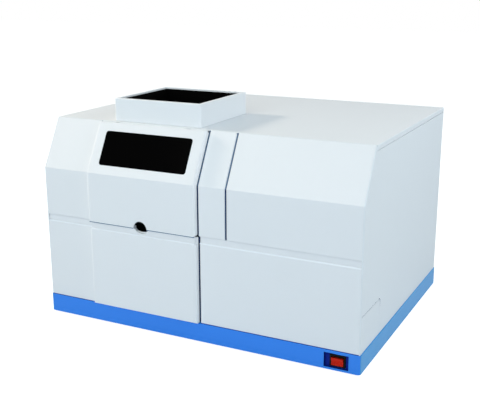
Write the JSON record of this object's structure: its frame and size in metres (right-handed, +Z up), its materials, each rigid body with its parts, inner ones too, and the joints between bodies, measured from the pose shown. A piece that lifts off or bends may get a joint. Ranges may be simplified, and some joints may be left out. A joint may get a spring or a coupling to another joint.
{
  "type": "atomic absorption spectrometer",
  "caption": "bench atomic absorption spectrometer with a white sloped case on a blue plinth, a hinged flame door under a square chimney, and its burner, lamp turret and optics inside",
  "frame": {"origin": "middle of the plinth's footprint at the level of the undersides of the feet", "axes": "+X to the right along the front as seen by the user, +Y from the front to the back, +Z up"},
  "size_m": [0.7, 0.5544, 0.4643],
  "materials": {
    "blue_plinth": "satin",
    "foot_rubber": "matte",
    "black_plastic": "fine grain",
    "red_rocker": "gloss",
    "white_steel": "satin",
    "white_moulding": "satin",
    "smoked_acrylic": "gloss",
    "black_steel": "matte",
    "plain_steel": "brushed",
    "lens_mount": "black anodised",
    "burner_titanium": "brushed",
    "grey_polymer": "matte",
    "cast_aluminium": "cast",
    "brass": "turned",
    "lamp_glass": "clear",
    "mirror_face": "polished",
    "board_green": "solder mask"
  },
  "bodies": {
    "case": {"plinth": "blue_plinth", "foot_front_left": "foot_rubber", "foot_front_right": "foot_rubber", "foot_rear_left": "foot_rubber", "foot_rear_right": "foot_rubber", "switch_bezel": "black_plastic", "top_cover": "white_steel", "left_side_panel": "white_steel", "right_side_panel": "white_steel", "rear_panel": "white_steel", "left_hood": "white_moulding", "middle_hood": "white_moulding", "right_hood": "white_moulding", "left_lower_panel": "white_moulding", "right_lower_panel": "white_moulding", "chimney_collar": "white_moulding", "chimney_liner": "black_steel", "upper_hinge_rail": "plain_steel", "lower_hinge_rail": "plain_steel", "flame_box": "black_steel", "lamp_lens_tube": "lens_mount", "slit_lens_tube": "lens_mount", "burner_post": "plain_steel", "igniter": "plain_steel", "turret_motor": "black_steel", "lamp_mirror": "mirror_face", "optical_bench": "cast_aluminium", "monochromator_case": "cast_aluminium", "monochromator_lid": "cast_aluminium", "ebert_mirror": "mirror_face", "grating_motor": "black_steel", "detector_housing": "black_plastic", "power_supply": "cast_aluminium", "control_board": "board_green", "gas_block": "cast_aluminium", "acetylene_inlet": "brass", "air_inlet": "brass", "power_inlet": "black_plastic", "data_port": "plain_steel", "fan_frame": "black_plastic"},
    "flame_door": {"flame_door": "white_moulding", "door_window": "smoked_acrylic"},
    "lower_door": {"lower_door": "white_moulding"},
    "side_hatch": {"side_hatch": "white_steel"},
    "switch_rocker": {"switch_rocker": "red_rocker"},
    "fan_rotor": {"fan_rotor": "black_plastic"},
    "burner_lift": {"burner_carriage": "cast_aluminium", "spray_chamber": "grey_polymer", "nebulizer": "plain_steel", "drain_trap": "grey_polymer"},
    "burner_turn": {"burner_head": "burner_titanium"},
    "height_screw": {"height_screw": "brass"},
    "lamp_turret": {"lamp_turret": "cast_aluminium", "lamp_1": "lamp_glass", "lamp_2": "lamp_glass", "lamp_3": "lamp_glass", "lamp_4": "lamp_glass"},
    "grating_table": {"grating_turntable": "plain_steel", "grating": "mirror_face"}
  },
  "joints": [
    {"name": "flame_door_lift", "type": "hinge", "parent": "case", "child": "flame_door", "pos_m": [-0.1092, -0.2195, 0.4121], "axis": [-1, 0, 0], "range_deg": [0, 90]},
    {"name": "lower_door_drop", "type": "hinge", "parent": "case", "child": "lower_door", "pos_m": [-0.10665, -0.2717, 0.0485], "axis": [1, 0, 0], "range_deg": [0, 90]},
    {"name": "side_hatch_swing", "type": "hinge", "parent": "case", "child": "side_hatch", "pos_m": [0.3467, -0.2647, 0.0413], "axis": [0, 0, -1], "range_deg": [0, 100]},
    {"name": "mains_rocker", "type": "hinge", "parent": "case", "child": "switch_rocker", "pos_m": [0.3047, -0.2599, 0.0202], "axis": [-1, 0, 0], "range_deg": [0, 18]},
    {"name": "fan_spin", "type": "hinge", "parent": "case", "child": "fan_rotor", "pos_m": [0.19, 0.2489, 0.281], "axis": [0, 1, 0], "continuous": true},
    {"name": "height_wheel", "type": "hinge", "parent": "case", "child": "height_screw", "pos_m": [-0.0632, -0.0257, 0.0431], "axis": [0, 0, 1], "range_deg": [-450, 450]},
    {"name": "burner_height", "type": "slide", "parent": "case", "child": "burner_lift", "axis": [0, 0, 1], "range_m": [-0.01, 0.01]},
    {"name": "burner_swing", "type": "hinge", "parent": "burner_lift", "child": "burner_turn", "pos_m": [-0.1092, -0.10535, 0.237], "axis": [0, 0, 1], "range_deg": [0, 90]},
    {"name": "lamp_turret_turn", "type": "hinge", "parent": "case", "child": "lamp_turret", "pos_m": [-0.288, -0.10535, 0.0933], "axis": [0, 0, 1], "range_deg": [0, 270]},
    {"name": "grating_turn", "type": "hinge", "parent": "case", "child": "grating_table", "pos_m": [0.0934, -0.03075, 0.2419], "axis": [0, 0, 1], "range_deg": [-5, 35]}
  ],
  "couplings": [
    {"joint": "height_wheel", "follows": "burner_height", "rad_per_m": -785.3}
  ]
}
